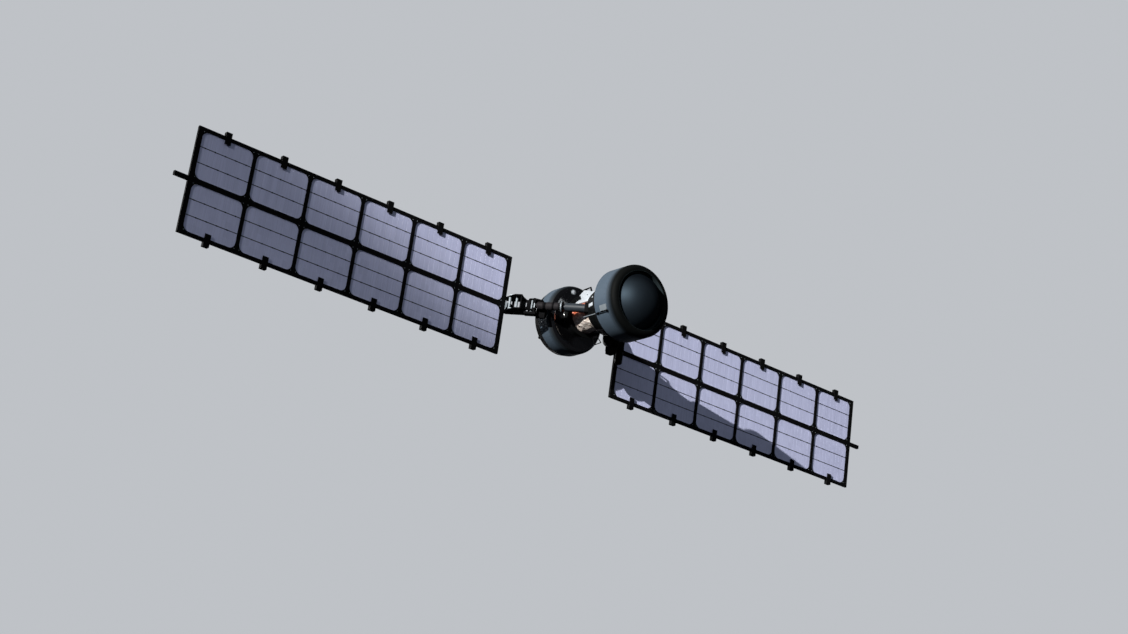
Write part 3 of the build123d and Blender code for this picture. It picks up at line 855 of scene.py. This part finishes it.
def makeHingeTrims(side, sign):  # a pale strip down the knuckle and a pale tab on the fork
    look = hingeLook
    turn = armTurn(sign)
    pin = Matrix.Translation(turn @ Vector((look["pinPlace"], 0, 0)))
    bm = bmesh.new()
    profile = ringProfile(look["stripRadius"] - look["stripDepth"], look["stripRadius"] + armLook["proud"],
                          -look["stripHalf"], look["stripHalf"])
    first, last = look["stripAngles"]
    angles = (first, last) if sign < 0 else (540 - last, 540 - first)    # mirrored, plus a whole turn
    addShell(bm, pin, profile, angles, look["stripSteps"])
    finishPiece(bm, side + "KnuckleStrip", side + "_elbow", "pale_metal")
    bm = bmesh.new()
    addBlock(bm, turn @ Matrix.Translation(look["tabPlace"]), look["tabSize"], look["tabBevel"], 1)
    finishPiece(bm, side + "ForkTab", "hull", "pale_metal")


def makeYokePlates(side, sign):  # two plates cut back beside the wing, and a plate across their inner end
    look = yokeLook
    turn = armTurn(sign)
    start, end, half = look["from"], look["to"], look["half"]
    cuts = (((sign * look["side"], 0, 0), (sign, 0, 0)), ((0, look["back"], 0), (0, 1, 0)))
    bm = bmesh.new()
    for low, high in look["plates"]:
        part = bmesh.new()
        matrix = turn @ Matrix.Translation(((start + end) / 2, 0, (low + high) / 2))
        addBlock(part, matrix, (end - start, 2 * half, high - low))
        for place, normal in cuts:
            cutAcross(part, place, normal, clear_outer=True)
            bmesh.ops.holes_fill(part, edges=[edge for edge in part.edges if edge.is_boundary])
        addPart(bm, part, Matrix())
    top = look["plates"][0][1]
    addBlock(bm, turn @ Matrix.Translation((start + look["endPlate"] / 2, 0, 0)),
             (look["endPlate"], 2 * half, 2 * top))
    finishPiece(bm, side + "YokePlates", side + "_elbow", "dark_metal", [side + "_yoke"], smooth=False)


def makeYokeFittings(side, sign):    # posts between the plates, a pale rail on each as painted highlight where the plate's front edge catches the light, bolts over the posts
    look = yokeLook
    turn = armTurn(sign)
    inner, top = look["plates"][0]
    for name, slot, posts in (("YokePosts", "pale_metal", "frontPosts"),
                              ("YokeRearPosts", "dark_metal", "rearPosts")):
        bm = bmesh.new()
        for along, outward in look[posts]:
            foot = turn @ Vector((along, outward, -inner))
            addRod(bm, foot, foot + Vector((0, 0, 2 * inner)), look["postRadius"], look["postCorners"])
        finishPiece(bm, side + name, side + "_elbow", slot)
    # the rails: painted highlight along the plates' lit front edges
    bm = bmesh.new()
    rail = look["rail"]
    for level in (top, -inner):
        middle = level + rail["height"] / 2 - rail["sunk"]
        place = Matrix.Translation(((rail["from"] + rail["to"]) / 2, rail["outward"], middle))
        addBlock(bm, turn @ place, (rail["to"] - rail["from"], rail["width"], rail["height"]), rail["bevel"])
    finishPiece(bm, side + "YokeHighlightRails", side + "_elbow", "pale_metal", smooth=False)
    bm = bmesh.new()
    for along, outward in look["frontPosts"] + look["rearPosts"]:
        for way in (-1, 1):
            place = turn @ Vector((along, outward, way * top))
            addBolt(bm, place, (0, 0, way), look["boltRadius"], look["boltHeight"])
    finishPiece(bm, side + "YokeBolts", side + "_elbow", "brown_metal", smooth=False)


for side, sign in sides:
    makeFlange(side, sign)
    makeHingeTrims(side, sign)
    makeYokePlates(side, sign)
    makeYokeFittings(side, sign)
print("arms dressed")


# Small plates and studs seated on the skirt and the aft drum

spotBevel = 0.003

spots = (                        # name, node, angle, y, size along, across and out, slot
    ("rootPlate", "fore_skirt", 187.0, -1.760, (0.200, 0.078, 0.012), "white_paint"),
    ("skirtStud", "fore_skirt", 168.0, -1.778, (0.040, 0.040, 0.010), "white_paint"),
    ("lowerBox", "fore_skirt", 262.0, -1.740, (0.240, 0.200, 0.062), "dark_metal"),
    ("lowerPatch", "fore_skirt", 257.0, -1.900, (0.060, 0.060, 0.008), "pale_metal"),
    ("aftStud", "aft_drum", 199.2, -0.282, (0.060, 0.048, 0.010), "white_paint"),
)


def makeSpots():                 # each is sunk by as much as it stands out
    for name, node, angle, y, (along, across, out), slot in spots:
        place, outward = seatRound(node, angle, y)
        bm = bmesh.new()
        addBlock(bm, basis(place, outward, (0, 1, 0)), (along, across, 2 * out), spotBevel)
        finishPiece(bm, name, "hull", slot)


# Round port on the aft face; its profiles are radius and height pairs

portLook = {
    "across": -0.218,
    "level": 0.598,
    "front": -1.2,                           # the line that seats it starts here, in front of the face
    "lens": ((0, -0.010), (0.052, -0.010), (0.052, 0.010), (0.044, 0.016), (0, 0.018)),
    "ring": ((0.050, -0.010), (0.062, -0.010), (0.062, 0.010), (0.058, 0.014), (0.050, 0.014)),
    "steps": 40,
}


def makePort():
    look = portLook
    place, outward = seatOn("aft_face", (look["across"], look["front"], look["level"]), (0, 1, 0))
    seat = basis(place, outward, (1, 0, 0))
    bm = bmesh.new()
    addTurned(bm, seat, look["lens"], steps=look["steps"])
    finishPiece(bm, "aftPort", "hull", "white_paint")
    bm = bmesh.new()
    addTurned(bm, seat, look["ring"], closed=True, steps=look["steps"])
    finishPiece(bm, "aftPortRing", "hull", "pale_metal")


# Looped bracket under the foil bay, with its strut; points are y and radius, in a plane through the axis

loopLook = {
    "angle": 295.0,
    "points": ((-0.980, 0.545), (-1.154, 0.535), (-1.227, 0.675), (-1.000, 0.687)),
    "rod": 0.011,
    "knobSteps": (14, 8),
    "foot": -1.067,
    "footBlocks": (                          # radius, size along, across and out, bevel
        (0.458, (0.150, 0.014, 0.176), 0.002),
        (0.397, (0.190, 0.070, 0.014), 0.003),
    ),
    "strut": ((-1.003, 0.390), (-1.244, 0.437), (-1.264, 0.375)),
    "strutRod": 0.010,
}


def makeLowerBracket():
    look = loopLook
    angle = look["angle"]
    corners = [radial(angle, radius, y) for y, radius in look["points"]]
    around, along = look["knobSteps"]
    bm = bmesh.new()
    for start, end in zip(corners, corners[1:] + corners[:1]):
        addRod(bm, start, end, look["rod"])
        bmesh.ops.create_uvsphere(bm, u_segments=around, v_segments=along, radius=look["rod"],
                                  matrix=Matrix.Translation(start))
    for radius, size, bevel in look["footBlocks"]:
        seat = basis(radial(angle, radius, look["foot"]), radial(angle, 1, 0), (0, 1, 0))
        addBlock(bm, seat, size, bevel)
    finishPiece(bm, "lowerBracket", "hull", "dark_metal")
    strut = [radial(angle, radius, y) for y, radius in look["strut"]]
    bm = bmesh.new()
    for start, end in zip(strut, strut[1:]):
        addRod(bm, start, end, look["strutRod"])
    finishPiece(bm, "lowerStrut", "hull", "pale_metal")


# Foot of the white bracket: a curved plate on the foil bay

footLook = {
    "radii": (0.385, 0.415),
    "angles": (118, 157),
    "levels": (0.900, 1.500),
    "steps": 16,
    "bevel": 0.003,
}


def makeBracketFoot():
    look = footLook
    bm = bmesh.new()
    addShell(bm, bodyTurn, ringProfile(*look["radii"], *look["levels"]), look["angles"], look["steps"])
    bevelEdges(bm, sharpEdges(bm), look["bevel"])
    finishPiece(bm, "bracketFoot", "hull", "white_paint")


# Matt sleeve on the neck between the aft face and the foil, with a collar at its front

neckLook = {
    "inner": 0.405,
    "neck": 0.4308,
    "collar": 0.5008,
    "from": 0.640,
    "step": 0.8575,
    "to": 0.8886,
    "steps": 96,
}


def makeNeckWrap():
    look = neckLook
    start, step, end = look["from"], look["step"], look["to"]
    profile = ((look["inner"], start), (look["neck"], start), (look["neck"], step), (look["collar"], step),
               (look["collar"], end), (look["inner"], end))
    bm = bmesh.new()
    addTurned(bm, bodyTurn, profile, closed=True, steps=look["steps"])
    finishPiece(bm, "neckWrap", "hull", "black_wrap")


# Rivets in rows round the drums

rivetLook = {
    "rows": (("aft_drum", -0.185, 36), ("aft_drum", -0.370, 36), ("fore_drum", -2.235, 40),
             ("fore_drum", -2.560, 40)),     # node, y, how many
    "radius": 0.0065,
    "height": 0.0022,
    "corners": 10,
}


def makeRivets():
    look = rivetLook
    bm = bmesh.new()
    for node, y, count in look["rows"]:
        for index in range(count):
            place, outward = seatRound(node, 360 * (index + 0.5) / count, y)
            addBolt(bm, place, outward, look["radius"], look["height"], look["corners"])
    finishPiece(bm, "drumRivets", "hull", "brown_metal", smooth=False)


# Flat cable on the back of each wing's spine, held by clips

harnessLook = {
    "from": 0.12,                            # from the wing's inner end
    "shorter": 0.30,                         # than the wing
    "width": 0.030,
    "height": 0.007,
    "offset": 0.028,                         # above the middle of the spine
    "clipFrom": 0.16,
    "clipEvery": 0.42,
    "clipSize": (0.022, 0.010, 0.046),
    "bevel": 0.002,
}


def makeHarness(side, sign):
    look = harnessLook
    low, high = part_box(side + "_wing_frame")
    level = (low.z + high.z) / 2 + look["offset"]
    inner = low.x if sign > 0 else high.x
    reach = high.x - low.x - look["shorter"]
    bm = bmesh.new()
    middle = (inner + sign * (look["from"] + reach / 2), high.y + look["height"] / 2, level)
    addBlock(bm, Matrix.Translation(middle), (reach, look["height"], look["width"]), look["bevel"])
    finishPiece(bm, side + "Harness", side + "_wing", "brown_metal", smooth=False)
    bm = bmesh.new()
    for index in range(int(reach / look["clipEvery"]) + 1):
        along = look["clipFrom"] + index * look["clipEvery"]
        place = (inner + sign * along, high.y + look["clipSize"][1] / 2, level)
        addBlock(bm, Matrix.Translation(place), look["clipSize"], look["bevel"])
    finishPiece(bm, side + "HarnessClips", side + "_wing", "pale_metal", smooth=False)


makeSpots()
makePort()
makeLowerBracket()
makeBracketFoot()
makeNeckWrap()
makeRivets()
for side, sign in sides:
    makeHarness(side, sign)
print("small features made")
